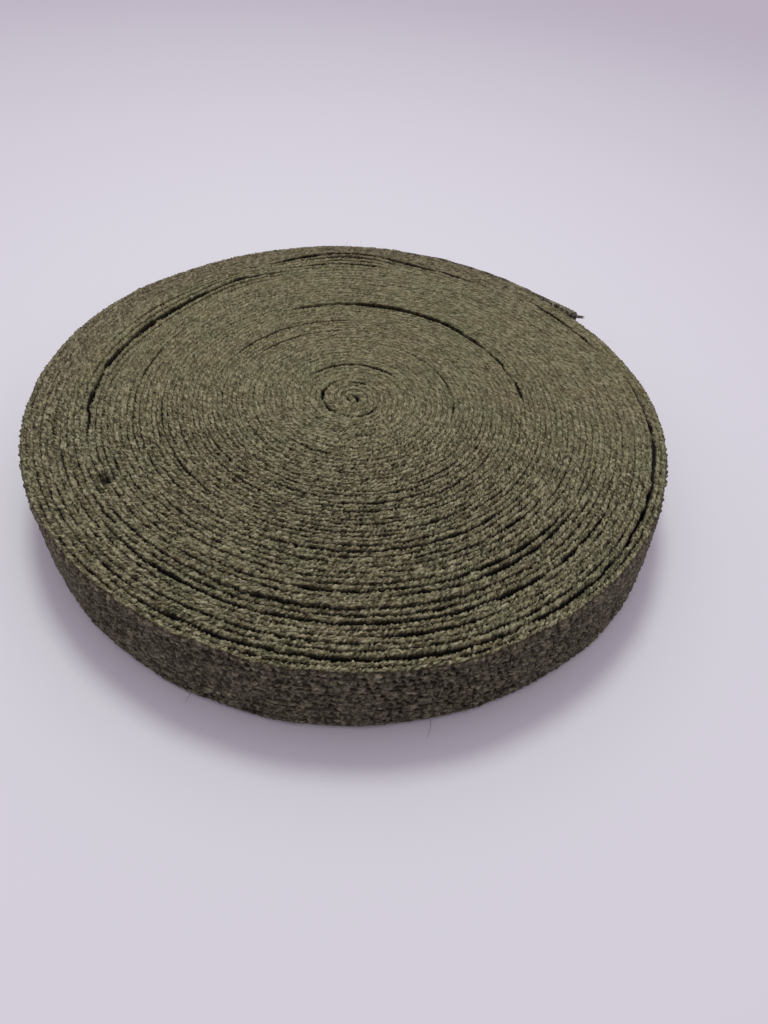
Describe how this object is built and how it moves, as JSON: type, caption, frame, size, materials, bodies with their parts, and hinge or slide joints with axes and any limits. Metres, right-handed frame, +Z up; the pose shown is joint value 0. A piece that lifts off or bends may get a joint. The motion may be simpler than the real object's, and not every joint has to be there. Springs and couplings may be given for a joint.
{
  "type": "roll of twill tape",
  "caption": "Narrow herringbone twill tape wound flat on itself into a disc that lies on its side, with uneven turns and the cut end lifting at the rim.",
  "frame": {"origin": "middle of the roll's outline on the surface that it lies on", "axes": "+Z up out of the side on which the turns show, +X to the right and +Y away as the roll was pictured"},
  "size_m": [0.1125, 0.1135, 0.0157],
  "materials": {
    "twill": "matt, hairy wool in a heathered olive green"
  },
  "bodies": {
    "root": {"wound_roll": "twill", "loose_end": "twill"}
  },
  "joints": []
}
